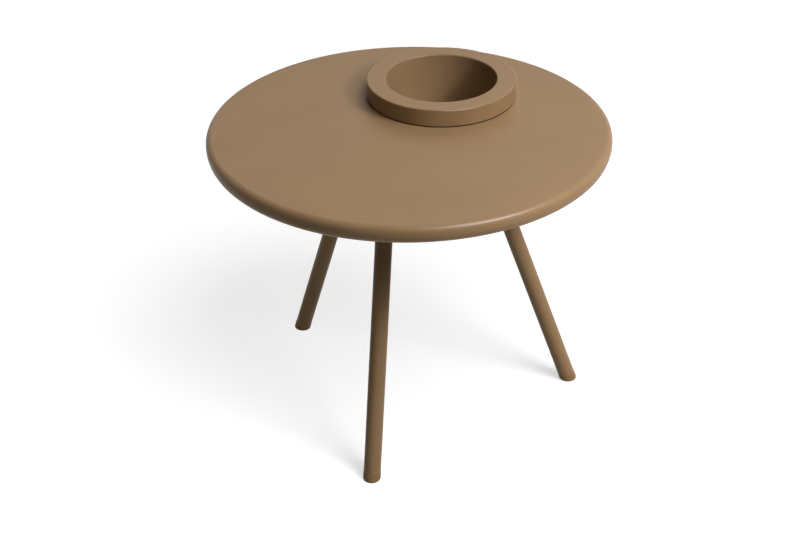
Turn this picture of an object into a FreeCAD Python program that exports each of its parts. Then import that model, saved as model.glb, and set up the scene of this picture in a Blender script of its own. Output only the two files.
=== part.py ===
import FreeCAD, Part
import os
import re
import Sketcher

# Side table: a round sheet-metal top on three splayed tube legs, with a deep pot that drops into an
# off-centre opening. Millimetres, +Z up, the floor at z = 0 under the middle of the top, the pot at the back.

doc = FreeCAD.newDocument("side_table")
sheet = doc.addObject("Spreadsheet::Sheet", "Sizes")
sizes = {
    # Top
    "top_diameter": 600,  # over the rim
    "top_height": 462,  # floor to the upper face
    "rim_height": 29,  # depth of the turned edge
    "rim_upper_round": 9.5,  # outside radius of the upper edge
    "rim_lower_round": 15.5,  # outside radius of the lower edge
    "rim_lip": 22,  # width of the lip turned under the edge
    "top_sheet": 2,  # thickness of the sheet
    # Pot
    "pot_offset": 122,  # middle of the top to the pot's axis
    "pot_angle": 65.3,  # direction of the pot from +X, degrees
    "pot_rim_diameter": 228.6,  # over the rim
    "pot_rim_height": 28.7,  # rim above the top
    "pot_opening": 170.3,  # mouth of the bowl at the rim
    "pot_depth": 200,  # rim to the underside
    "pot_wall": 3,  # moulded wall
    "pot_draft": 5,  # taper of the bowl, degrees
    "pot_edge_round": 1.8,  # edges of the rim
    "pot_base_round": 20,  # outside radius at the foot of the bowl
    "pot_recess_diameter": 70,  # hollow under the base
    "pot_recess": 2,  # depth of that hollow
    "pot_shadow_gap": 2.2,  # dark gap between the rim and the top
    "pot_foot_setback": 1.5,  # foot of the rim behind its outside
    "pot_clearance": 1,  # bowl to the collar it drops through
    # Opening in the top
    "collar_depth": 14,  # collar turned down round the opening
    "collar_bend": 4,  # outside radius of that turn
    "seat_depth": 0.5,  # groove in the top where the pot's foot stands
    "seat_play": 0.7,  # foot to the sides of that groove
    # Plate under the top, its welded studs and nuts
    "plate_diameter": 292,  # outside
    "plate_thickness": 3,  # steel plate
    "plate_clearance": 2,  # plate to the collar
    "plate_corner": 10,  # corners of the notch
    "plate_stud_edge": 14,  # outer studs to the plate's edge
    "plate_stud_spread": 12,  # stud to leg direction, degrees
    "plate_stud_diameter": 6,  # thread
    "plate_stud_length": 12,  # below the sheet
    "plate_stud_play": 0.25,  # stud to its hole, on the radius
    "plate_stud_tip": 0.8,  # bevel at the tip
    "nut_flats": 10,  # across the flats
    "nut_height": 6,  # with its flange
    "nut_flange_diameter": 13,  # flange
    "nut_flange_thickness": 1.4,  # flange
    # Legs
    "mount_circle": 191.5,  # circle of the leg axes at the plate
    "leg_splay": 19.1,  # lean from upright, degrees
    "mount_gap_left": 13.5,  # left boss to the edge of the notch
    "mount_gap_right": 12,  # right boss to the edge of the notch
    "mount_front_angle": 251.2,  # direction of the front boss from +X, degrees
    "leg_left_turn": 12.8,  # lean of the left leg from its radius, degrees
    "leg_front_turn": 7.4,  # lean of the front leg from its radius, degrees
    "leg_diameter": 25.7,  # tube outside
    "leg_wall": 1.5,  # tube wall
    "boss_length": 22,  # along the leg axis
    "boss_bore_room": 1.5,  # bore beyond the stud's end
    "leg_stud_diameter": 10,  # thread
    "leg_stud_length": 38,  # overall
    "leg_stud_reach": 17,  # in the boss
    "leg_stud_tip": 1,  # bevel at each end
    "thread_play": 0.1,  # stud to its bore, on the radius
    "plug_collar": 3,  # shoulder on the tube's end
    "plug_length": 25,  # in the tube
    "plug_play": 0.1,  # plug to the tube, on the radius
    "foot_height": 12,  # floor to the tube's end, on the axis
    "foot_lip": 0.3,  # cap proud of the tube, on the radius
    "foot_round": 2.5,  # edge round the sole
    "foot_spigot": 18,  # in the tube
    "foot_spigot_wall": 2,  # hollow spigot
    "foot_play": 0.15,  # spigot to the tube, on the radius
}
for row, (name, number) in enumerate(sizes.items(), 1):
    sheet.set(f"A{row}", name)
    sheet.set(f"B{row}", str(number))
    sheet.setAlias(f"B{row}", name)
doc.recompute()


def named(expression):
    """Put the sheet's name before each size in an expression."""
    return re.sub(r"[a-z_]+", lambda word: f"Sizes.{word[0]}" if word[0] in sizes else word[0], expression)


def value(expression):
    """The number that an expression has now."""
    return float(sheet.evalExpression(named(expression)))


def bind(obj, prop, expression):
    """Tie a property to the sheet."""
    obj.setExpression(prop, named(expression))


# Places and sizes that follow from the sheet
TOP_UNDERSIDE = "(top_height - top_sheet)"
PLATE_UNDERSIDE = "(top_height - top_sheet - plate_thickness)"
POT_TOP = "(top_height + pot_rim_height)"
POT_BASE = "(top_height + pot_rim_height - pot_depth)"
POT_X = "pot_offset * cos(pot_angle)"
POT_Y = "pot_offset * sin(pot_angle)"
POT_FOOT = "(top_height - seat_depth)"
POT_FOOT_OUTSIDE = "(pot_rim_diameter / 2 - pot_foot_setback)"
POT_SKIRT_INSIDE = "(pot_rim_diameter / 2 - pot_wall)"
COLLAR_INSIDE = "(pot_opening / 2 - pot_rim_height * tan(pot_draft) + pot_wall + pot_clearance)"
COLLAR_OUTSIDE = f"({COLLAR_INSIDE} + top_sheet)"
NOTCH = f"({COLLAR_OUTSIDE} + plate_clearance)"
STUD_CIRCLE = "(plate_diameter / 2 - plate_stud_edge)"
LEG_OUTSIDE = "(leg_diameter / 2)"
LEG_INSIDE = "(leg_diameter / 2 - leg_wall)"
LEG_TOP = f"({PLATE_UNDERSIDE} / cos(leg_splay) - boss_length)"
LEG_SPREAD = f"({PLATE_UNDERSIDE} * tan(leg_splay))"


def beside_pot(gap):
    """Angle between the pot and a leg whose boss clears the notch by a gap."""
    apart = f"({NOTCH} + {LEG_OUTSIDE} + {gap})"
    sides = f"((mount_circle / 2) ^ 2 + pot_offset ^ 2 - {apart} ^ 2)"
    return f"acos({sides} / (mount_circle * pot_offset))"


MOUNT_ANGLES = {
    "left": f"(pot_angle * 1 deg + {beside_pot('mount_gap_left')})",
    "front": "(mount_front_angle * 1 deg)",
    "right": f"(pot_angle * 1 deg - {beside_pot('mount_gap_right')})",
}
LEAN_ANGLES = {
    "left": f"({MOUNT_ANGLES['left']} + leg_left_turn * 1 deg)",
    "front": f"({MOUNT_ANGLES['front']} + leg_front_turn * 1 deg)",
    "right": MOUNT_ANGLES["right"],
}


def new_body(label):
    body = doc.addObject("PartDesign::Body", label)
    body.Label = label
    return body


def new_sketch(body, name, role, height="0"):
    """A sketch on one of the body's own planes, raised along the plane's normal."""
    sketch = body.newObject("Sketcher::SketchObject", name)
    plane = next(item for item in body.Origin.OriginFeatures if item.Role == role)
    sketch.AttachmentSupport = [(plane, "")]
    sketch.MapMode = "FlatFace"
    bind(sketch, "AttachmentOffset.Base.z", height)
    return sketch


def fix(sketch, constraint, expression):
    """Add a dimension to a sketch and tie it to the sheet."""
    index = sketch.addConstraint(constraint)
    bind(sketch, f"Constraints[{index}]", expression)


def place_point(sketch, geometry, point, x, y):
    """Dimension a point from the sketch's origin, or hold it on an axis."""
    for kind, axis, expression in (("DistanceX", -2, x), ("DistanceY", -1, y)):
        if expression == "0":
            sketch.addConstraint(Sketcher.Constraint("PointOnObject", geometry, point, axis))
        else:
            fix(sketch, Sketcher.Constraint(kind, geometry, point, value(expression)), expression)


def add_circle(sketch, radius, x="0", y="0"):
    middle = FreeCAD.Vector(value(x), value(y), 0)
    circle = sketch.addGeometry(Part.Circle(middle, FreeCAD.Vector(0, 0, 1), value(radius)))
    fix(sketch, Sketcher.Constraint("Radius", circle, value(radius)), radius)
    place_point(sketch, circle, 3, x, y)


def add_outline(sketch, corners):
    """A closed outline of straight lines through corners given as expressions."""
    points = [FreeCAD.Vector(value(x), value(y), 0) for x, y in corners]
    ends = points[1:] + points[:1]
    lines = [sketch.addGeometry(Part.LineSegment(a, b)) for a, b in zip(points, ends)]
    for line, following in zip(lines, lines[1:] + lines[:1]):
        sketch.addConstraint(Sketcher.Constraint("Coincident", line, 2, following, 1))
    for line, (x, y) in zip(lines, corners):
        place_point(sketch, line, 1, x, y)


def turn(body, name, corners):
    """A solid of revolution about the body's Z axis, from corners of radius and height."""
    sketch = new_sketch(body, name + "_profile", "XZ_Plane")
    add_outline(sketch, corners)
    revolution = body.newObject("PartDesign::Revolution", name)
    revolution.Profile = sketch
    revolution.ReferenceAxis = (sketch, ["V_Axis"])
    revolution.Angle = 360
    doc.recompute()
    return revolution


def extrude(body, name, sketch, length, kind="PartDesign::Pad", up=True):
    """Pad or pocket a sketch along its normal, or against it."""
    feature = body.newObject(kind, name)
    feature.Profile = sketch
    feature.Reversed = up == (kind == "PartDesign::Pocket")
    bind(feature, "Length", length)
    doc.recompute()
    return feature


def cut_through(body, name, sketch, length):
    """Pocket a sketch to both sides of its plane."""
    feature = body.newObject("PartDesign::Pocket", name)
    feature.Profile = sketch
    feature.SideType = "Symmetric"
    bind(feature, "Length", length)
    doc.recompute()
    return feature


def cylinder(body, name, radius, bottom, length, kind="PartDesign::Pad"):
    """Add or remove a round bar on the body's Z axis."""
    sketch = new_sketch(body, name + "_circle", "XY_Plane", bottom)
    add_circle(sketch, radius)
    return extrude(body, name, sketch, length, kind)


def dress(body, name, feature, edges, amount, kind="PartDesign::Fillet"):
    """Round or bevel some edges of a feature."""
    rounded = body.newObject(kind, name)
    rounded.Base = (feature, edges)
    bind(rounded, "Radius" if kind == "PartDesign::Fillet" else "Size", amount)
    doc.recompute()
    return rounded


def edges_where(feature, test):
    """Names of the edges of a feature that pass a test."""
    found = [f"Edge{i}" for i, edge in enumerate(feature.Shape.Edges, 1) if test(edge)]
    if not found:
        raise RuntimeError(f"no edge found on {feature.Label}")
    return found


def ring(feature, radius, height):
    """Names of the circular edges of a given radius at a given height."""
    wanted = value(radius), value(height)

    def matches(edge):
        if not isinstance(edge.Curve, Part.Circle):
            return False
        found = edge.Curve.Radius, edge.Curve.Center.z
        return max(abs(a - b) for a, b in zip(wanted, found)) < 1e-4

    return edges_where(feature, matches)


def table_top():
    """Spun tray: flat face, edge turned under into a lip, and a collar and a seat for the pot."""
    body = new_body("table_top")
    edge, inner_edge = "top_diameter / 2", "top_diameter / 2 - top_sheet"
    bottom, lip_top = "top_height - rim_height", "top_height - rim_height + top_sheet"
    lip_end = "top_diameter / 2 - rim_lip"
    feature = turn(body, "tray", [
        ("0", "top_height"), (edge, "top_height"), (edge, bottom), (lip_end, bottom),
        (lip_end, lip_top), (inner_edge, lip_top), (inner_edge, TOP_UNDERSIDE), ("0", TOP_UNDERSIDE)])
    rounds = (
        ("upper_round", edge, "top_height", "rim_upper_round"),
        ("upper_round_inside", inner_edge, TOP_UNDERSIDE, "rim_upper_round - top_sheet"),
        ("lower_round", edge, bottom, "rim_lower_round"),
        ("lower_round_inside", inner_edge, lip_top, "rim_lower_round - top_sheet"))
    for name, radius, height, amount in rounds:
        feature = dress(body, name, feature, ring(feature, radius, height), amount)

    collar_disc = new_sketch(body, "collar_disc", "XY_Plane", f"{TOP_UNDERSIDE} - collar_depth")
    add_circle(collar_disc, COLLAR_OUTSIDE, POT_X, POT_Y)
    feature = extrude(body, "collar", collar_disc, "collar_depth + top_sheet / 2")
    opening_disc = new_sketch(body, "opening_disc", "XY_Plane", f"{TOP_UNDERSIDE} - collar_depth")
    add_circle(opening_disc, COLLAR_INSIDE, POT_X, POT_Y)
    feature = extrude(body, "opening", opening_disc, "collar_depth + rim_height", "PartDesign::Pocket")
    feature = dress(body, "mouth_round", feature, ring(feature, COLLAR_INSIDE, "top_height"), "collar_bend")
    root = ring(feature, COLLAR_OUTSIDE, TOP_UNDERSIDE)
    dress(body, "collar_root", feature, root, "collar_bend - top_sheet")
    seat_rings = new_sketch(body, "seat_rings", "XY_Plane", "top_height")
    for radius in (f"{POT_FOOT_OUTSIDE} + seat_play", f"{POT_SKIRT_INSIDE} - seat_play"):
        add_circle(seat_rings, radius, POT_X, POT_Y)
    extrude(body, "pot_seat", seat_rings, "seat_depth", "PartDesign::Pocket", up=False)
    return body


def pot():
    """Moulded pot: tapered bowl, and a rim folded over into a skirt that stands in the seat."""
    body = new_body("pot")
    bind(body, "Placement.Base.x", POT_X)
    bind(body, "Placement.Base.y", POT_Y)
    skirt, skirt_end = "pot_rim_diameter / 2", "top_height + pot_shadow_gap"
    base_inside = f"{POT_BASE} + pot_recess + pot_wall"
    rim_inside = f"{POT_TOP} - pot_wall"

    def bowl(height):
        return f"(pot_opening / 2 - ({POT_TOP} - ({height})) * tan(pot_draft))"

    base_edge = f"{bowl(POT_BASE)} + pot_wall"
    floor_edge = bowl(base_inside)
    feature = turn(body, "shell", [
        ("0", f"{POT_BASE} + pot_recess"), ("pot_recess_diameter / 2", f"{POT_BASE} + pot_recess"),
        ("pot_recess_diameter / 2 + pot_recess", POT_BASE), (base_edge, POT_BASE),
        (f"{bowl(rim_inside)} + pot_wall", rim_inside), (POT_SKIRT_INSIDE, rim_inside),
        (POT_SKIRT_INSIDE, POT_FOOT), (POT_FOOT_OUTSIDE, POT_FOOT),
        (POT_FOOT_OUTSIDE, skirt_end), (skirt, skirt_end), (skirt, POT_TOP),
        ("pot_opening / 2", POT_TOP), (floor_edge, base_inside), ("0", base_inside)])
    rounds = (
        ("rim_outer_edge", skirt, POT_TOP, "pot_edge_round"),
        ("rim_inner_edge", "pot_opening / 2", POT_TOP, "pot_edge_round"),
        ("base_round", base_edge, POT_BASE, "pot_base_round"),
        ("base_round_inside", floor_edge, base_inside, "pot_base_round - pot_wall"))
    for name, radius, height, amount in rounds:
        feature = dress(body, name, feature, ring(feature, radius, height), amount)
    return body


def stud_places():
    """The middle of the plate, and a pair of places outside each leg boss."""
    places = [("0", "0")]
    for angle in MOUNT_ANGLES.values():
        for sign in ("-", "+"):
            turned = f"({angle} {sign} plate_stud_spread * 1 deg)"
            places.append(tuple(f"{STUD_CIRCLE} * {part}({turned})" for part in ("cos", "sin")))
    return places


def under_plate():
    """Steel plate that spreads the legs' load, notched round the collar and drilled for the studs."""
    body = new_body("under_plate")
    disc = cylinder(body, "disc", "plate_diameter / 2", PLATE_UNDERSIDE, "plate_thickness")
    notch_disc = new_sketch(body, "notch_disc", "XY_Plane", PLATE_UNDERSIDE)
    add_circle(notch_disc, NOTCH, POT_X, POT_Y)
    feature = extrude(body, "notch", notch_disc, "plate_thickness", "PartDesign::Pocket")
    if feature.Shape.Volume >= disc.Shape.Volume:
        raise RuntimeError("the notch cuts nothing")
    corners = edges_where(feature, lambda edge: isinstance(edge.Curve, Part.Line))
    feature = dress(body, "notch_corners", feature, corners, "plate_corner")
    holes = new_sketch(body, "hole_circles", "XY_Plane", PLATE_UNDERSIDE)
    for x, y in stud_places():
        add_circle(holes, "plate_stud_diameter / 2 + plate_stud_play", x, y)
    extrude(body, "holes", holes, "plate_thickness", "PartDesign::Pocket")
    return body


def plate_studs():
    """Studs welded to the underside of the sheet, so that nothing shows on the upper face."""
    body = new_body("plate_studs")
    circles = new_sketch(body, "stud_circles", "XY_Plane", f"{TOP_UNDERSIDE} - plate_stud_length")
    for x, y in stud_places():
        add_circle(circles, "plate_stud_diameter / 2", x, y)
    feature = extrude(body, "shanks", circles, "plate_stud_length")
    tips = ring(feature, "plate_stud_diameter / 2", f"{TOP_UNDERSIDE} - plate_stud_length")
    dress(body, "tips", feature, tips, "plate_stud_tip", "PartDesign::Chamfer")
    return body


def primitive(kind, name, measures, x, y, z):
    """A Part primitive with its sizes and place tied to the sheet."""
    item = doc.addObject(kind, name)
    for prop, expression in measures.items():
        bind(item, prop, expression)
    for axis, expression in zip("xyz", (x, y, z)):
        bind(item, f"Placement.Base.{axis}", expression)
    return item


def plate_nuts():
    """Hexagon flange nuts that clamp the plate to the sheet."""
    nuts = []
    bottom = f"{PLATE_UNDERSIDE} - nut_height"
    for number, (x, y) in enumerate(stud_places(), 1):
        hexagon = {"Circumradius": "nut_flats / 2 / cos(30)", "Height": "nut_height"}
        flange = {"Radius": "nut_flange_diameter / 2", "Height": "nut_flange_thickness"}
        bore = {"Radius": "plate_stud_diameter / 2 + thread_play", "Height": "nut_height"}
        solid = doc.addObject("Part::Fuse", f"nut_{number}_solid")
        solid.Base = primitive("Part::Prism", f"nut_{number}_hexagon", hexagon, x, y, bottom)
        flange_bottom = f"{PLATE_UNDERSIDE} - nut_flange_thickness"
        solid.Tool = primitive("Part::Cylinder", f"nut_{number}_flange", flange, x, y, flange_bottom)
        nut = doc.addObject("Part::Cut", f"nut_{number}")
        nut.Base = solid
        nut.Tool = primitive("Part::Cylinder", f"nut_{number}_bore", bore, x, y, bottom)
        nuts.append(nut)
    group = doc.addObject("Part::Compound", "plate_nuts")
    group.Links = nuts
    return group


def leg_body(name, side):
    """A body on a leg: its origin is where the axis meets the floor, Z runs up the axis, X leans outwards."""
    body = new_body(f"{name}_{side}")
    mount, lean = MOUNT_ANGLES[side], LEAN_ANGLES[side]
    x, y = (f"mount_circle / 2 * {part}({mount}) + {LEG_SPREAD} * {part}({lean})" for part in ("cos", "sin"))
    turned = f"create(<<rotation>>; {lean} / (1 deg); 0 - leg_splay; 0)"
    bind(body, "Placement", f"create(<<placement>>; create(<<vector>>; {x}; {y}; 0); {turned})")
    return body


def level_cut(body, name, low, high):
    """Take away what lies between two heights above the floor."""
    sketch = new_sketch(body, name + "_section", "XZ_Plane")
    bind(sketch, "AttachmentOffset.Rotation.Angle", "0 - leg_splay")
    inner, outer = f"0 - {LEG_SPREAD} - leg_diameter", "leg_diameter"
    add_outline(sketch, [(inner, low), (outer, low), (outer, high), (inner, high)])
    return cut_through(body, name, sketch, "leg_diameter * 2")


def leg_boss(side):
    """Slanted boss welded under the plate, as thick as the tube and bored for the leg's stud."""
    body = leg_body("leg_boss", side)
    slant = f"{LEG_OUTSIDE} * tan(leg_splay)"
    cylinder(body, "bar", LEG_OUTSIDE, LEG_TOP, f"boss_length + {slant} + top_sheet")
    level_cut(body, "plate_face", PLATE_UNDERSIDE, f"{PLATE_UNDERSIDE} + leg_diameter")
    bore = "leg_stud_diameter / 2 + thread_play"
    cylinder(body, "bore", bore, LEG_TOP, "leg_stud_reach + boss_bore_room", "PartDesign::Pocket")
    return body


def leg_stud(side):
    """Threaded stud between boss and plug."""
    body = leg_body("leg_stud", side)
    radius = "leg_stud_diameter / 2"
    top = f"{LEG_TOP} + leg_stud_reach"
    shank = cylinder(body, "shank", radius, f"{top} - leg_stud_length", "leg_stud_length")
    ends = ring(shank, radius, top) + ring(shank, radius, f"{top} - leg_stud_length")
    dress(body, "ends", shank, ends, "leg_stud_tip", "PartDesign::Chamfer")
    return body


def leg_plug(side):
    """Turned plug in the upper end of the tube, with a shoulder that meets the boss and a tapped bore."""
    body = leg_body("leg_plug", side)
    shoulder = f"{LEG_TOP} - plug_collar"
    bottom = f"{shoulder} - plug_length"
    cylinder(body, "shoulder", LEG_OUTSIDE, shoulder, "plug_collar")
    cylinder(body, "core", f"{LEG_INSIDE} - plug_play", bottom, "plug_length")
    bore = "leg_stud_diameter / 2 + thread_play"
    cylinder(body, "bore", bore, bottom, "plug_length + plug_collar", "PartDesign::Pocket")
    return body


def leg_tube(side):
    """Straight round tube from the foot cap to the plug's shoulder."""
    body = leg_body("leg_tube", side)
    length = f"{LEG_TOP} - plug_collar - foot_height"
    cylinder(body, "outside", LEG_OUTSIDE, "foot_height", length)
    cylinder(body, "inside", LEG_INSIDE, "foot_height", length, "PartDesign::Pocket")
    return body


def foot_cap(side):
    """Moulded cap with a level sole, a little wider than the tube, held by a hollow spigot inside it."""
    body = leg_body("foot_cap", side)
    radius = f"({LEG_OUTSIDE} + foot_lip)"
    below = f"({radius} * tan(leg_splay) + foot_lip)"
    cylinder(body, "block", radius, f"0 - {below}", f"{below} + foot_height")
    feature = level_cut(body, "sole", "0 - leg_diameter", "0")
    sole_edge = edges_where(feature, lambda edge: isinstance(edge.Curve, Part.Ellipse))
    feature = dress(body, "sole_round", feature, sole_edge, "foot_round")
    dress(body, "lip_round", feature, ring(feature, radius, "foot_height"), "foot_lip")
    spigot = f"{LEG_INSIDE} - foot_play"
    cylinder(body, "spigot", spigot, "foot_height", "foot_spigot")
    hollow = f"{spigot} - foot_spigot_wall"
    cylinder(body, "spigot_hollow", hollow, "foot_height", "foot_spigot", "PartDesign::Pocket")
    return body


pieces = [table_top(), under_plate(), plate_studs(), plate_nuts()]
for side in MOUNT_ANGLES:
    pieces += [leg_boss(side), leg_stud(side), leg_plug(side), leg_tube(side), foot_cap(side)]
pieces.append(pot())
doc.recompute()

for item in doc.Objects:
    if "Invalid" in item.State or "Error" in item.State:
        raise RuntimeError(f"{item.Label} failed: {item.State}")
for piece in pieces:
    if piece.Shape.isNull() or not piece.Shape.isValid() or not piece.Shape.Solids:
        raise RuntimeError(f"{piece.Label} has no sound shape")

os.makedirs("parts", exist_ok=True)
for piece in pieces:
    piece.Shape.exportStep(f"parts/{piece.Label}.step")
    print(piece.Label, len(piece.Shape.Solids), "solid(s)", round(piece.Shape.Volume), "mm3")
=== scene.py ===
import math

import bmesh
import bpy
from mathutils import Matrix, Vector


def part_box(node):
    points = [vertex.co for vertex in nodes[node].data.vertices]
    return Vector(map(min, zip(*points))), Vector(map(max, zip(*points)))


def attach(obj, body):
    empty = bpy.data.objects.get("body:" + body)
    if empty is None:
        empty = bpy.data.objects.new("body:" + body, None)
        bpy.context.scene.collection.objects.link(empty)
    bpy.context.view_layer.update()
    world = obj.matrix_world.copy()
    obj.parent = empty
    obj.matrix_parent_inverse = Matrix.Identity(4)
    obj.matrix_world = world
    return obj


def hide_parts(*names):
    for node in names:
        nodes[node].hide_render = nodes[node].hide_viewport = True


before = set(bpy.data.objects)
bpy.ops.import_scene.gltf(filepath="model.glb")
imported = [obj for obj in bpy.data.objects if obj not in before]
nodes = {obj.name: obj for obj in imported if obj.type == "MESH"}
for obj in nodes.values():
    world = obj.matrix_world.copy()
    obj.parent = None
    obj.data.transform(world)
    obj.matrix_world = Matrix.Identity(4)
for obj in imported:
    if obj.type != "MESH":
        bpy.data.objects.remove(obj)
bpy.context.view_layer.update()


# Table top
# A flat tray spun from sheet metal, its edge turned under into a lip, with a collar drawn down round the
# opening for the pot. It is coated after forming, so one even film runs over face, edge, lip and collar.
MM = 0.001
COAT_LIGHT, COAT_DARK = "#937757", "#8D7151"
COAT_ROUGHNESS, COAT_SPREAD = 0.34, 0.03
COAT_IOR, COAT_SPECULAR = 1.5, 0.075
CLOUD, PEEL_WAVE, GRAIN = 90.0, 2.4, 0.6  # mm; the grain is drawn twice as coarse as it is, so that it shows
PEEL_DEPTH, GRAIN_DEPTH = 0.012, 0.008  # mm
NOISE_LOW, NOISE_HIGH = 0.3, 0.7  # most of a noise lies between these
SUM_LOW, SUM_HIGH = 0.7, 1.3  # and most of the sum of two between these


def linear(code):
    """Linear colour of an sRGB hex value."""
    parts = [int(code[i:i + 2], 16) / 255 for i in (1, 3, 5)]
    return [p / 12.92 if p <= 0.04045 else ((p + 0.055) / 1.055) ** 2.4 for p in parts] + [1.0]


def add_node(tree, kind, inputs, **settings):
    """Add a node, set it up, and link or set its inputs, which go by name or by number.

    A colour mix has its share at 0, its two colours at 6 and 7, and its result at 2.
    """
    node = tree.nodes.new(kind)
    for name, setting in settings.items():
        setattr(node, name, setting)
    for socket, given in inputs.items():
        if isinstance(given, bpy.types.NodeSocket):
            tree.links.new(given, node.inputs[socket])
        else:
            node.inputs[socket].default_value = given
    return node


def new_material(name):
    """A node material with its tree, its shader and the object's own coordinates."""
    material = bpy.data.materials.new(name)
    material.use_nodes = True
    tree = material.node_tree
    place = add_node(tree, "ShaderNodeTexCoord", {}).outputs["Object"]
    return material, tree, tree.nodes["Principled BSDF"], place


def powder_coat():
    """Polyester powder coat, sprayed dry and baked: a matt, even colour with a soft sheen at low angles."""
    material, tree, shader, place = new_material("taupe_polyester_powder_coat")
    cloud = add_node(tree, "ShaderNodeTexNoise", {
        "Vector": place, "Scale": 1 / (CLOUD * MM), "Detail": 3.0})
    peel = add_node(tree, "ShaderNodeTexNoise", {
        "Vector": place, "Scale": 1 / (PEEL_WAVE * MM), "Detail": 1.0})
    grain = add_node(tree, "ShaderNodeTexNoise", {
        "Vector": place, "Scale": 1 / (GRAIN * MM), "Detail": 2.0})
    tint = add_node(tree, "ShaderNodeMath", {
        0: cloud.outputs["Fac"], 1: grain.outputs["Fac"]}, operation="ADD")
    share = add_node(tree, "ShaderNodeMapRange", {
        "Value": tint.outputs[0], "From Min": SUM_LOW, "From Max": SUM_HIGH})
    colour = add_node(tree, "ShaderNodeMix", {
        0: share.outputs[0], 6: linear(COAT_DARK), 7: linear(COAT_LIGHT)}, data_type="RGBA")
    gloss = add_node(tree, "ShaderNodeMapRange", {
        "Value": grain.outputs["Fac"], "From Min": NOISE_LOW, "From Max": NOISE_HIGH,
        "To Min": COAT_ROUGHNESS - COAT_SPREAD, "To Max": COAT_ROUGHNESS + COAT_SPREAD})
    peel_bump = add_node(tree, "ShaderNodeBump", {
        "Height": peel.outputs["Fac"], "Distance": PEEL_DEPTH * MM})
    bump = add_node(tree, "ShaderNodeBump", {
        "Height": grain.outputs["Fac"], "Distance": GRAIN_DEPTH * MM, "Normal": peel_bump.outputs["Normal"]})
    tree.links.new(colour.outputs[2], shader.inputs["Base Color"])
    tree.links.new(gloss.outputs[0], shader.inputs["Roughness"])
    tree.links.new(bump.outputs["Normal"], shader.inputs["Normal"])
    shader.inputs["IOR"].default_value = COAT_IOR
    shader.inputs["Specular IOR Level"].default_value = COAT_SPECULAR
    return material


def finish_node(name, material):
    """Give a carried-over piece its finish."""
    nodes[name].data.materials.clear()
    nodes[name].data.materials.append(material)


coat = powder_coat()
finish_node("table_top", coat)


# Under plate
# A laser-cut steel plate under the sheet, notched round the collar, that spreads the legs' load. It is
# coated like the top, and the film rounds its cut edges a little. Nuts on studs clamp it to the sheet.
PLATE_EDGE, EDGE_STEPS = 0.5, 2  # mm, and faces across a softened edge
SAME_POINT = 0.002  # mm
FLAT, SHARP = math.radians(1), math.radians(35)


def welded_copy(name):
    """A bmesh of a carried-over piece, its loose triangles joined into whole faces."""
    shape = bmesh.new()
    shape.from_mesh(nodes[name].data)
    bmesh.ops.remove_doubles(shape, verts=shape.verts, dist=SAME_POINT * MM)
    bmesh.ops.dissolve_limit(shape, angle_limit=FLAT, verts=shape.verts, edges=shape.edges)
    return shape


def add_piece(shape, name, material, replaced=None, soft_edge=0.0):
    """Make a finished bmesh a piece of the table, which may stand for a carried-over one."""
    data = bpy.data.meshes.new(name)
    shape.to_mesh(data)
    shape.free()
    data.materials.append(material)
    data.shade_smooth()
    data.set_sharp_from_angle(angle=SHARP)
    piece = bpy.data.objects.new(name, data)
    bpy.context.collection.objects.link(piece)
    if soft_edge:
        bevel = piece.modifiers.new("soft_edge", "BEVEL")
        bevel.width, bevel.segments, bevel.profile = soft_edge * MM, EDGE_STEPS, 0.5
        bevel.limit_method, bevel.angle_limit, bevel.harden_normals = "ANGLE", SHARP, True
    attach(piece, "table")
    if replaced:
        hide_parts(replaced)
    return piece


add_piece(welded_copy("under_plate"), "steel_plate", coat, "under_plate", PLATE_EDGE)


# Plate studs
# Steel studs with a rolled metric thread, welded to the underside of the sheet so that nothing shows on
# its face. They are zinc plated, which leaves a pale, faintly mottled metal.
PLATE_STUD_PITCH, PLATE_STUD_TIP = 1.0, 0.8  # mm
THREAD_DEPTH, THREAD_STEPS = 0.6134, 24  # depth as a share of the pitch, and steps in a turn
ZINC_LIGHT, ZINC_DARK = "#C9C9C4", "#A9AAA6"
ZINC_SMOOTH, ZINC_DULL = 0.28, 0.42  # roughness in the middle of a crystal and at its edge
ZINC_CRYSTAL, ZINC_HAZE = 1.5, 7.5  # mm
CRYSTAL_EDGE = 0.7  # how far the edge lies from the middle, in crystals


def zinc_plate():
    """Bright zinc plating on steel: a pale grey metal with a fine crystalline mottle and a satin gloss."""
    material, tree, shader, place = new_material("zinc_plated_steel")
    crystal = add_node(tree, "ShaderNodeTexVoronoi", {"Vector": place, "Scale": 1 / (ZINC_CRYSTAL * MM)})
    haze = add_node(tree, "ShaderNodeTexNoise", {
        "Vector": place, "Scale": 1 / (ZINC_HAZE * MM), "Detail": 3.0})
    colour = add_node(tree, "ShaderNodeMix", {
        0: haze.outputs["Fac"], 6: linear(ZINC_DARK), 7: linear(ZINC_LIGHT)}, data_type="RGBA")
    gloss = add_node(tree, "ShaderNodeMapRange", {
        "Value": crystal.outputs["Distance"], "From Max": CRYSTAL_EDGE,
        "To Min": ZINC_SMOOTH, "To Max": ZINC_DULL})
    tree.links.new(colour.outputs[2], shader.inputs["Base Color"])
    tree.links.new(gloss.outputs[0], shader.inputs["Roughness"])
    shader.inputs["Metallic"].default_value = 1.0
    return material


def solid_boxes(name):
    """Lowest and highest corners of each separate solid in a carried-over piece."""
    shape = welded_copy(name)
    waiting = set(shape.verts)
    boxes = []
    for first in shape.verts:
        if first in waiting:
            waiting.remove(first)
            group = [first]
            for vert in group:
                joined = [edge.other_vert(vert) for edge in vert.link_edges]
                group += [other for other in joined if other in waiting]
                waiting.difference_update(joined)
            spans = [[vert.co[axis] for vert in group] for axis in range(3)]
            boxes.append((Vector([min(span) for span in spans]), Vector([max(span) for span in spans])))
    shape.free()
    return boxes


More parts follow.
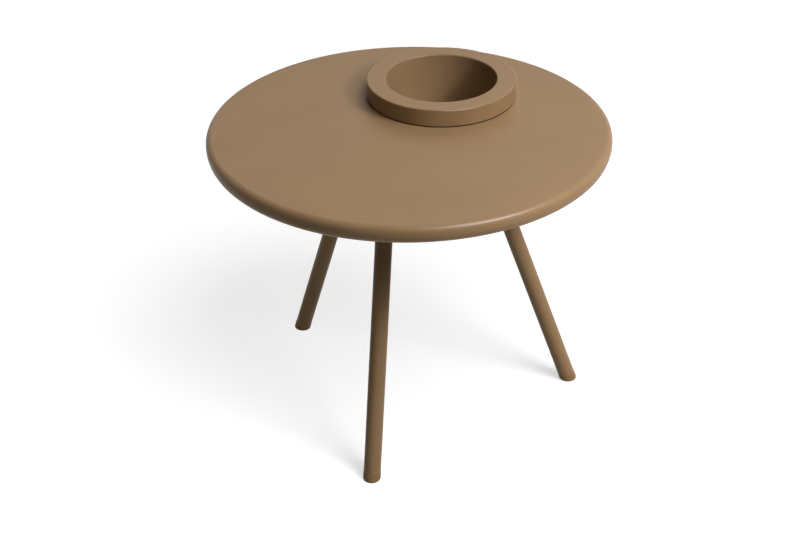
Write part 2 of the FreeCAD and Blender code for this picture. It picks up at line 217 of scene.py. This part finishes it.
def threaded_rod(radius, pitch, length, tips):
    """A rod up the Z axis with a thread, bevelled at the heights in tips by the depth that each gives."""
    rod = bmesh.new()
    root = radius - THREAD_DEPTH * pitch
    # One turn of a metric thread, up the pitch: a quarter of it is flat at the root, an eighth at the crest
    flanks = ((root, 0), (root, 1 / 4), (radius, 9 / 16), (radius, 11 / 16), (root, 1))
    turns = math.ceil(length / pitch) + 2
    corners = [rod.verts.new((r * MM, 0, (rise - 1) * pitch * MM)) for r, rise in flanks]
    for low, high in zip(corners, corners[1:]):
        rod.edges.new((low, high))
    bmesh.ops.spin(rod, geom=rod.verts[:] + rod.edges[:], cent=(0, 0, 0), axis=(0, 0, 1),
                   angle=math.tau * turns, dvec=(0, 0, pitch * MM / THREAD_STEPS), steps=THREAD_STEPS * turns)
    bmesh.ops.remove_doubles(rod, verts=rod.verts, dist=SAME_POINT * MM)
    for height, outward in ((0, -1), (length, 1)):
        whole = rod.verts[:] + rod.edges[:] + rod.faces[:]
        cut = bmesh.ops.bisect_plane(rod, geom=whole, dist=SAME_POINT * MM, plane_co=(0, 0, height * MM),
                                     plane_no=(0, 0, outward), clear_outer=True)
        rim = [item for item in cut["geom_cut"] if isinstance(item, bmesh.types.BMEdge)]
        bmesh.ops.edgeloop_fill(rod, edges=rim)
    for vert in rod.verts:
        for height, depth in tips:
            limit = (radius - depth) * MM + abs(vert.co.z - height * MM)
            if vert.co.xy.length > limit:
                vert.co.xy *= limit / vert.co.xy.length
    bmesh.ops.recalc_face_normals(rod, faces=rod.faces)
    return rod


def repeated(shape, places):
    """A bmesh with a copy of a shape at each of some places."""
    pattern = bpy.data.meshes.new("pattern")
    shape.to_mesh(pattern)
    shape.clear()
    for place in places:
        copy = pattern.copy()
        copy.transform(place)
        shape.from_mesh(copy)
        bpy.data.meshes.remove(copy)
    bpy.data.meshes.remove(pattern)
    return shape


zinc = zinc_plate()
plate_studs = solid_boxes("plate_studs")
low, high = plate_studs[0]
stud_radius, stud_length = (high.x - low.x) / 2 / MM, (high.z - low.z) / MM
stud = threaded_rod(stud_radius, PLATE_STUD_PITCH, stud_length, [(0, PLATE_STUD_TIP)])
stud_places = [Matrix.Translation(((a.x + b.x) / 2, (a.y + b.y) / 2, a.z)) for a, b in plate_studs]
add_piece(repeated(stud, stud_places), "threaded_weld_studs", zinc, "plate_studs")


# Plate nuts
# Cold-formed hexagon flange nuts, zinc plated, that clamp the plate to the sheet. The free end is bevelled
# to a round face, and the flange slopes out under the hexagon. Each stops at its own angle when it is tight.
NUT_FLATS, NUT_BORE, NUT_SINK = 10.0, 6.2, 0.5  # mm
NUT_FLANGE_EDGE, NUT_FLANGE_SLOPE, NUT_FLANGE_ROUND = 0.9, 1.3, 0.2  # mm
NUT_FACE = 0.95  # round face as a share of the flats
NUT_BEVEL, NUT_TURN = math.radians(30), math.radians(37)
NUT_SIDES, NUT_CORNERS = 6, 48


def flange_nut(flange, height):
    """A nut with its free end at z = 0, from loops that are bridged in turn from the bore out and back."""
    nut = bmesh.new()
    bore, face = NUT_BORE / 2, NUT_FLATS / 2 * NUT_FACE
    corner = NUT_FLATS / 2 / math.cos(math.pi / NUT_SIDES)
    edge_start = height - NUT_FLANGE_EDGE
    outline = (
        (bore, height, NUT_CORNERS),
        (bore, NUT_SINK, NUT_CORNERS),
        (bore + NUT_SINK, 0, NUT_CORNERS),
        (face, 0, NUT_CORNERS),
        (corner, 0, NUT_SIDES),
        (corner, edge_start - NUT_FLANGE_SLOPE, NUT_SIDES),
        (flange - NUT_FLANGE_ROUND, edge_start, NUT_CORNERS),
        (flange, edge_start + NUT_FLANGE_ROUND, NUT_CORNERS),
        (flange, height - NUT_FLANGE_ROUND, NUT_CORNERS),
        (flange - NUT_FLANGE_ROUND, height, NUT_CORNERS))
    loops = []
    for radius, level, sides in outline:
        circle = bmesh.ops.create_circle(nut, segments=sides, radius=radius * MM,
                                         matrix=Matrix.Translation((0, 0, level * MM)))
        edges = list({edge for vert in circle["verts"] for edge in vert.link_edges})
        if sides < NUT_CORNERS:
            split = bmesh.ops.subdivide_edges(nut, edges=edges, cuts=NUT_CORNERS // sides - 1)
            edges = [item for item in split["geom"] if isinstance(item, bmesh.types.BMEdge)]
        loops.append(edges)
    free_hexagon = loops[4]
    for vert in {vert for edge in free_hexagon for vert in edge.verts}:
        vert.co.z = max(0, vert.co.xy.length - face * MM) * math.tan(NUT_BEVEL)
    for loop, following in zip(loops, loops[1:] + loops[:1]):
        bmesh.ops.bridge_loops(nut, edges=loop + following)
    bmesh.ops.recalc_face_normals(nut, faces=nut.faces)
    return nut


plate_nuts = solid_boxes("plate_nuts")
low, high = plate_nuts[0]
nut = flange_nut((high.y - low.y) / 2 / MM, (high.z - low.z) / MM)
nut_places = []
for i, (a, b) in enumerate(plate_nuts):
    middle = Matrix.Translation(((a.x + b.x) / 2, (a.y + b.y) / 2, a.z))
    nut_places.append(middle @ Matrix.Rotation(NUT_TURN * i, 4, "Z"))
add_piece(repeated(nut, nut_places), "hexagon_flange_nuts", zinc, "plate_nuts")


# Leg bosses
# Short steel bars cut on the slant and welded under the plate, bored and tapped for the legs' studs. The
# weld is a rippled bead all round, and the coat runs over bar and bead alike.
SIDES = ("left", "front", "right")
BOSS_EDGE = 0.6  # mm
BEAD_RADIUS, RIPPLE_DEPTH, RIPPLE_SLANT = 2.6, 0.16, 0.5  # mm, share of the radius, radians of a ripple
RIPPLES, BEAD_STEPS, BEAD_SIDES = 44, 264, 14


def leg_axis(side):
    """Where a leg's axis meets the floor, and its direction upwards."""
    shape = welded_copy(f"leg_tube_{side}")
    middle = sum(vert.co.z for vert in shape.verts) / len(shape.verts)
    ends = []
    for below in (True, False):
        ring = [vert.co for vert in shape.verts if (vert.co.z < middle) == below]
        ends.append(sum(ring, Vector()) / len(ring))
    shape.free()
    along = (ends[1] - ends[0]).normalized()
    return ends[0] - along * (ends[0].z / along.z), along


def weld_bead(radius, splay):
    """A rippled bead round a slanted bar, about the origin and with the bar's lean along X."""
    bead = bmesh.new()
    upright = Matrix.Translation((radius, 0, 0)) @ Matrix.Rotation(math.radians(90), 4, "X")
    bmesh.ops.create_circle(bead, segments=BEAD_SIDES, radius=BEAD_RADIUS * MM, matrix=upright)
    bmesh.ops.spin(bead, geom=bead.verts[:] + bead.edges[:], cent=(0, 0, 0), axis=(0, 0, 1),
                   angle=math.tau, steps=BEAD_STEPS, use_merge=True)
    for vert in bead.verts:
        turn = math.atan2(vert.co.y, vert.co.x)
        core = Vector((math.cos(turn), math.sin(turn), 0)) * radius
        lag = RIPPLE_SLANT * (vert.co - core).z / (BEAD_RADIUS * MM)
        ripple = abs(math.sin(RIPPLES / 2 * turn + lag))
        vert.co = core + (vert.co - core) * (1 - RIPPLE_DEPTH * (1 - ripple))
    bmesh.ops.scale(bead, vec=(1 / math.cos(splay), 1, 1), verts=bead.verts)
    bmesh.ops.recalc_face_normals(bead, faces=bead.faces)
    return bead


plate_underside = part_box("under_plate")[0][2]
axes = {side: leg_axis(side) for side in SIDES}
for side, (foot, along) in axes.items():
    boss = welded_copy(f"leg_boss_{side}")
    add_piece(boss, f"slanted_boss_{side}", coat, f"leg_boss_{side}", BOSS_EDGE)
    tube = welded_copy(f"leg_tube_{side}")
    boss_radius = max((vert.co - foot).cross(along).length for vert in tube.verts)
    tube.free()
    bead = weld_bead(boss_radius, math.acos(along.z))
    seat = Matrix.Translation(foot + along * (plate_underside / along.z))
    lean = Matrix.Rotation(math.atan2(along.y, along.x), 4, "Z")
    bmesh.ops.transform(bead, matrix=seat @ lean, verts=bead.verts)
    add_piece(bead, f"weld_bead_{side}", coat)


# Leg studs
# Threaded steel rods between boss and leg, zinc plated. The leg is screwed on to its stud until its plug
# meets the boss, so the rod is out of sight on a table that stands.
LEG_STUD_PITCH, LEG_STUD_TIP = 1.5, 1.0  # mm
for side, (foot, along) in axes.items():
    shape = welded_copy(f"leg_stud_{side}")
    reach = [(vert.co - foot).dot(along) for vert in shape.verts]
    radius = max((vert.co - foot).cross(along).length for vert in shape.verts)
    shape.free()
    length = (max(reach) - min(reach)) / MM
    rod = threaded_rod(radius / MM, LEG_STUD_PITCH, length, [(0, LEG_STUD_TIP), (length, LEG_STUD_TIP)])
    seat = Matrix.Translation(foot + along * min(reach)) @ along.to_track_quat("Z", "Y").to_matrix().to_4x4()
    bmesh.ops.transform(rod, matrix=seat, verts=rod.verts)
    add_piece(rod, f"threaded_leg_stud_{side}", zinc, f"leg_stud_{side}")


# Leg plugs
# Turned steel plugs pressed into the upper ends of the tubes, tapped for the studs and zinc plated. Only
# the thin shoulder between boss and tube shows.
PLUG_EDGE = 0.4  # mm
for side in SIDES:
    plug = welded_copy(f"leg_plug_{side}")
    add_piece(plug, f"turned_plug_{side}", zinc, f"leg_plug_{side}", PLUG_EDGE)


# Leg tubes
# Straight drawn tubes, cut square and coated like the top. The film is a little thicker at the cut ends,
# which are slightly rounded by it.
TUBE_EDGE = 0.4  # mm
tubes = {}
for side in SIDES:
    tube = welded_copy(f"leg_tube_{side}")
    tubes[side] = add_piece(tube, f"coated_tube_{side}", coat, f"leg_tube_{side}", TUBE_EDGE)


# Foot caps
# Moulded polyethylene caps pushed into the lower ends of the tubes, in the table's colour. Their soles are
# cut level with the floor, and the last few millimetres are painted darker, as painted shade.
# The sole colour is painted shade at the bottom of the cap.
CAP_LIGHT, CAP_DARK, CAP_SOLE_SHADE = "#8E704D", "#866947", "#5E4930"
CAP_ROUGHNESS, CAP_SPREAD = 0.5, 0.05
CAP_IOR, CAP_SPECULAR = 1.5, 0.075
CAP_GRAIN, CAP_GRAIN_DEPTH = 0.7, 0.012  # mm
SOLE_SHADE_HEIGHT = 3.5  # mm above the floor, up to which the painted shade reaches


def moulded_polyethylene():
    """Low-density polyethylene from a spark-eroded mould: dull, waxy, fine-grained, with painted shade at the
    sole.
    """
    material, tree, shader, place = new_material("moulded_polyethylene")
    grain = add_node(tree, "ShaderNodeTexNoise", {
        "Vector": place, "Scale": 1 / (CAP_GRAIN * MM), "Detail": 2.0})
    colour = add_node(tree, "ShaderNodeMix", {
        0: grain.outputs["Fac"], 6: linear(CAP_DARK), 7: linear(CAP_LIGHT)}, data_type="RGBA")
    height = add_node(tree, "ShaderNodeSeparateXYZ", {0: place}).outputs["Z"]
    # The colour darkens towards the sole: painted shade.
    sole_shade_share = add_node(tree, "ShaderNodeMapRange", {
        "Value": height, "From Max": SOLE_SHADE_HEIGHT * MM, "To Min": 1.0, "To Max": 0.0},
        interpolation_type="SMOOTHSTEP")
    sole_shaded = add_node(tree, "ShaderNodeMix", {
        0: sole_shade_share.outputs[0], 6: colour.outputs[2], 7: linear(CAP_SOLE_SHADE)}, data_type="RGBA")
    gloss = add_node(tree, "ShaderNodeMapRange", {
        "Value": grain.outputs["Fac"], "From Min": NOISE_LOW, "From Max": NOISE_HIGH,
        "To Min": CAP_ROUGHNESS - CAP_SPREAD, "To Max": CAP_ROUGHNESS + CAP_SPREAD})
    bump = add_node(tree, "ShaderNodeBump", {
        "Height": grain.outputs["Fac"], "Distance": CAP_GRAIN_DEPTH * MM})
    tree.links.new(sole_shaded.outputs[2], shader.inputs["Base Color"])
    tree.links.new(gloss.outputs[0], shader.inputs["Roughness"])
    tree.links.new(bump.outputs["Normal"], shader.inputs["Normal"])
    shader.inputs["IOR"].default_value = CAP_IOR
    shader.inputs["Specular IOR Level"].default_value = CAP_SPECULAR
    return material


cap_plastic = moulded_polyethylene()
for side in SIDES:
    finish_node(f"foot_cap_{side}", cap_plastic)


# Pot
# A deep bowl with a broad rim, injection moulded in polypropylene of the table's colour. It drops through
# the collar and stands on the foot of its rim, and lifts straight out. The gap round the foot is painted
# shade.
# The darkest colour is painted shade for the gap round the foot.
POT_LIGHT, POT_DARK, POT_GAP_SHADE = "#937757", "#8D7151", "#2B2218"
POT_ROUGHNESS, POT_SPREAD = 0.32, 0.03
POT_IOR, POT_SPECULAR = 1.49, 0.075
POT_GRAIN, POT_FLOW = 0.8, 60.0  # mm; the mould's grain is drawn twice as coarse as it is, so that it shows
POT_GRAIN_DEPTH = 0.012  # mm
GAP, GAP_SHADE_REACH = 2.2, 8.0  # mm; height of the gap above the top, and how far in from the rim the painted shade reaches


def moulded_polypropylene():
    """Polypropylene from a spark-eroded mould: matt and even, with a faint grain and broad flow shades."""
    material, tree, shader, place = new_material("moulded_polypropylene")
    grain = add_node(tree, "ShaderNodeTexNoise", {
        "Vector": place, "Scale": 1 / (POT_GRAIN * MM), "Detail": 3.0})
    flow = add_node(tree, "ShaderNodeTexNoise", {
        "Vector": place, "Scale": 1 / (POT_FLOW * MM), "Detail": 1.0})
    tint = add_node(tree, "ShaderNodeMath", {
        0: grain.outputs["Fac"], 1: flow.outputs["Fac"]}, operation="ADD")
    share = add_node(tree, "ShaderNodeMapRange", {
        "Value": tint.outputs[0], "From Min": SUM_LOW, "From Max": SUM_HIGH})
    colour = add_node(tree, "ShaderNodeMix", {
        0: share.outputs[0], 6: linear(POT_DARK), 7: linear(POT_LIGHT)}, data_type="RGBA")
    gloss = add_node(tree, "ShaderNodeMapRange", {
        "Value": grain.outputs["Fac"], "From Min": NOISE_LOW, "From Max": NOISE_HIGH,
        "To Min": POT_ROUGHNESS - POT_SPREAD, "To Max": POT_ROUGHNESS + POT_SPREAD})
    bump = add_node(tree, "ShaderNodeBump", {
        "Height": grain.outputs["Fac"], "Distance": POT_GRAIN_DEPTH * MM})
    low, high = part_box("pot")
    middle = ((low[0] + high[0]) / 2, (low[1] + high[1]) / 2, 0)
    rim = (high[0] - low[0]) / 2
    gap_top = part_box("table_top")[1][2] + GAP * MM
    height = add_node(tree, "ShaderNodeSeparateXYZ", {0: place}).outputs["Z"]
    flat = add_node(tree, "ShaderNodeVectorMath", {0: place, 1: (1, 1, 0)}, operation="MULTIPLY")
    reach = add_node(tree, "ShaderNodeVectorMath", {0: flat.outputs[0], 1: middle}, operation="DISTANCE")
    outer = add_node(tree, "ShaderNodeMath", {
        0: reach.outputs["Value"], 1: rim - GAP_SHADE_REACH * MM}, operation="GREATER_THAN")
    under = add_node(tree, "ShaderNodeMath", {0: height, 1: gap_top}, operation="LESS_THAN")
    gap_shade_mask = add_node(tree, "ShaderNodeMath", {
        0: outer.outputs[0], 1: under.outputs[0]}, operation="MULTIPLY")
    # Below the gap's top and near the rim the colour turns dark: painted shade in the gap.
    gap_shaded = add_node(tree, "ShaderNodeMix", {
        0: gap_shade_mask.outputs[0], 6: colour.outputs[2], 7: linear(POT_GAP_SHADE)}, data_type="RGBA")
    tree.links.new(gap_shaded.outputs[2], shader.inputs["Base Color"])
    tree.links.new(gloss.outputs[0], shader.inputs["Roughness"])
    tree.links.new(bump.outputs["Normal"], shader.inputs["Normal"])
    shader.inputs["IOR"].default_value = POT_IOR
    shader.inputs["Specular IOR Level"].default_value = POT_SPECULAR
    return material


finish_node("pot", moulded_polypropylene())


# Stage
# A plain white floor in white surroundings, under soft studio lamps. The overhead lamp lights all, and the
# contact lamp lights the floor alone, shaded by the two near legs. The rest are flagged off the floor: three
# more for the table, two cards low down for its rim and legs, and a panel that shows only as gloss.
FLOOR_SIZE = 12.0  # m
FLOOR_BOUNCE, FLOOR_SHADE, FLOOR_GLOW = 0.38, 0.7, 0.62  # matt share of unseen and seen light, and a glow
AMBIENT, SURROUND = 0.04, 1.0  # strength as light, and where it is seen
WHITE = (1, 1, 1, 1)
LAMP_AIM = Vector((0, 0, 0.46))  # the middle of the top


def seen_rays(tree):
    """A socket that is 1 where the eye, a reflection or a clear piece looks at the stage."""
    rays = add_node(tree, "ShaderNodeLightPath", {})
    seen = rays.outputs["Is Camera Ray"]
    for kind in ("Is Glossy Ray", "Is Transmission Ray"):
        either = {0: seen, 1: rays.outputs[kind]}
        seen = add_node(tree, "ShaderNodeMath", either, operation="MAXIMUM").outputs[0]
    return seen


def floor_finish():
    """White floor: plain matt for light that bounces, brighter but still shaded where it is looked at."""
    material = bpy.data.materials.new("matt_white_floor")
    material.use_nodes = True
    tree = material.node_tree
    tree.nodes.clear()
    bounce = add_node(tree, "ShaderNodeBsdfDiffuse", {"Color": [FLOOR_BOUNCE] * 3 + [1]})
    shade = add_node(tree, "ShaderNodeBsdfDiffuse", {"Color": [FLOOR_SHADE] * 3 + [1]})
    glow = add_node(tree, "ShaderNodeEmission", {"Color": WHITE, "Strength": FLOOR_GLOW})
    shown = add_node(tree, "ShaderNodeAddShader", {0: shade.outputs[0], 1: glow.outputs[0]})
    both = add_node(tree, "ShaderNodeMixShader", {
        0: seen_rays(tree), 1: bounce.outputs[0], 2: shown.outputs[0]})
    add_node(tree, "ShaderNodeOutputMaterial", {"Surface": both.outputs[0]})
    return material


def lamp_list(name, pieces, state):
    """A collection that tells lamps to spare some pieces, or to reach or be shaded by them alone."""
    group = bpy.data.collections.new(name)
    for piece in pieces:
        group.objects.link(piece)
    for entry in group.collection_objects:
        entry.light_linking.link_state = state
    return group


def hang_lamp(data, place, reach):
    """Hang a lamp at a place in metres, turned to the top, to light all or what a collection says."""
    lamp = bpy.data.objects.new(data.name, data)
    lamp.location = place
    lamp.visible_camera = False
    lamp.rotation_mode = "QUATERNION"
    lamp.rotation_quaternion = (Vector(place) - LAMP_AIM).to_track_quat("Z", "Y")
    lamp.light_linking.receiver_collection = reach
    bpy.context.collection.objects.link(lamp)
    return lamp


def far_lamp(name, share, place, width, reach=None):
    """A broad far lamp, its width in degrees, with a share of the light that shows matt white as white."""
    data = bpy.data.lights.new(name, "SUN")
    data.energy = share * math.pi
    data.angle = math.radians(width)
    return hang_lamp(data, place, reach)


def near_lamp(name, watts, place, across, reach):
    """A round lamp near the table, its width across in metres."""
    data = bpy.data.lights.new(name, "AREA")
    data.energy = watts
    data.shape = "DISK"
    data.size = across
    return hang_lamp(data, place, reach)


floor_mesh = bmesh.new()
bmesh.ops.create_grid(floor_mesh, x_segments=1, y_segments=1, size=FLOOR_SIZE / 2)
floor_data = bpy.data.meshes.new("floor")
floor_mesh.to_mesh(floor_data)
floor_mesh.free()
floor_data.materials.append(floor_finish())
floor = bpy.data.objects.new("floor", floor_data)
bpy.context.collection.objects.link(floor)

world = bpy.data.worlds.new("studio")
world.use_nodes = True
bpy.context.scene.world = world
tree = world.node_tree
tree.nodes.clear()
around = add_node(tree, "ShaderNodeBackground", {"Color": WHITE, "Strength": AMBIENT})
white = add_node(tree, "ShaderNodeBackground", {"Color": WHITE, "Strength": SURROUND})
both = add_node(tree, "ShaderNodeMixShader", {0: seen_rays(tree), 1: around.outputs[0], 2: white.outputs[0]})
add_node(tree, "ShaderNodeOutputWorld", {"Surface": both.outputs[0]})

legs = {side: [tubes[side], nodes[f"foot_cap_{side}"]] for side in SIDES}
off_floor = lamp_list("off_floor", [floor], "EXCLUDE")
off_front_leg = lamp_list("off_front_leg", [floor] + legs["front"], "EXCLUDE")
floor_alone = lamp_list("floor_alone", [floor], "INCLUDE")
near_legs = lamp_list("near_legs", legs["front"] + legs["right"], "INCLUDE")

far_lamp("overhead", share=0.42, place=(0.79, -0.87, 2.08), width=40)
far_lamp("high", share=0.20, place=(1.05, -0.11, 2.16), width=34, reach=off_floor)
near_lamp("side", watts=9.2, place=(0.95, -0.55, 1.25), across=0.26, reach=off_floor)
back = far_lamp("back", share=0.34, place=(0.54, 1.48, 1.69), width=34, reach=off_floor)
right_card = near_lamp("right_card", watts=1.5, place=(0.68, -0.66, 0.16), across=0.3, reach=off_front_leg)
left_card = near_lamp("left_card", watts=0.55, place=(-0.95, 0.05, 0.16), across=0.3, reach=off_front_leg)
for lamp in (back, right_card, left_card):
    lamp.visible_glossy = False
contact = far_lamp("contact", share=0.48, place=(1.16, -1.16, 1.61), width=30, reach=floor_alone)
contact.light_linking.blocker_collection = near_legs
gloss_panel = far_lamp("gloss_panel", share=4.8, place=(0.99, -0.77, 2.01), width=30, reach=off_floor)
gloss_panel.visible_diffuse = False


# Camera
# It stands where the photograph was taken from: front on, looking down at about 31 degrees. Its place, turn
# and lens were fitted to the outlines of the top, the pot and the legs.
CAMERA_PLACE = Vector((-7.94, -2281.9, 1600.6)) * MM
PITCH, YAW, ROLL = 0.5436, -0.0036, 0.0152  # radians
FOCAL, IMAGE_WIDTH, SENSOR = 1718.3, 800, 36.0  # pixels, pixels, mm
ahead = Vector((math.sin(YAW) * math.cos(PITCH), math.cos(YAW) * math.cos(PITCH), -math.sin(PITCH)))
level = Vector((math.cos(YAW), -math.sin(YAW), 0))
down = ahead.cross(level)
right = level * math.cos(ROLL) + down * math.sin(ROLL)
up = level * math.sin(ROLL) - down * math.cos(ROLL)
camera_data = bpy.data.cameras.new("camera")
camera_data.sensor_width = SENSOR
camera_data.lens = FOCAL / IMAGE_WIDTH * SENSOR
camera = bpy.data.objects.new("camera", camera_data)
bpy.context.collection.objects.link(camera)
camera.matrix_world = Matrix.Translation(CAMERA_PLACE) @ Matrix((right, up, -ahead)).transposed().to_4x4()
bpy.context.scene.camera = camera
bpy.context.scene.view_settings.view_transform = "Standard"
